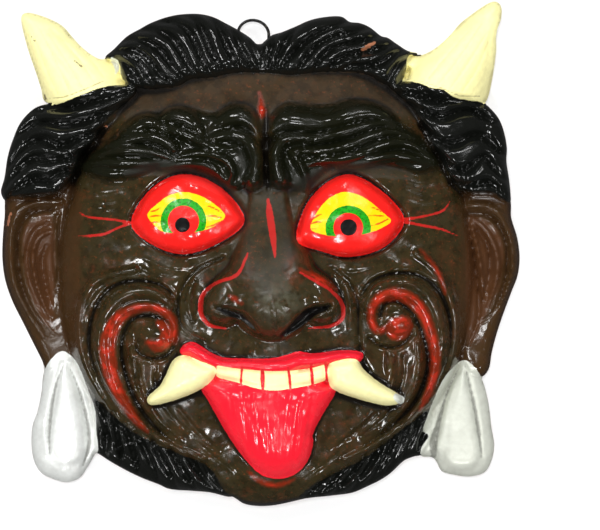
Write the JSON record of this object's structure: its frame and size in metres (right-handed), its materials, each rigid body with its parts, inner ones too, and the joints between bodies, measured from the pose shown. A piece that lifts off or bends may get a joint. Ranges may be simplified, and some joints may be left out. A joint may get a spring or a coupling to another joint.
{
  "type": "terracotta wall mask",
  "caption": "Relief face of a horned guardian in painted, varnished terracotta, hollow behind, with a wire loop at the crown for hanging.",
  "frame": {"origin": "under the middle of the outline, on the flat back rim", "axes": "+Z out of the face, +Y to the crown, +X to the right as seen from the front; the mask lies on its back"},
  "size_m": [0.2598, 0.2527, 0.0603],
  "materials": {
    "painted_terracotta": "gloss varnish over hand-painted fired clay",
    "blackened_wire": "thin black paint on steel wire"
  },
  "bodies": {
    "root": {"mask_body": "painted_terracotta", "hanging_wire": "blackened_wire"}
  },
  "joints": []
}
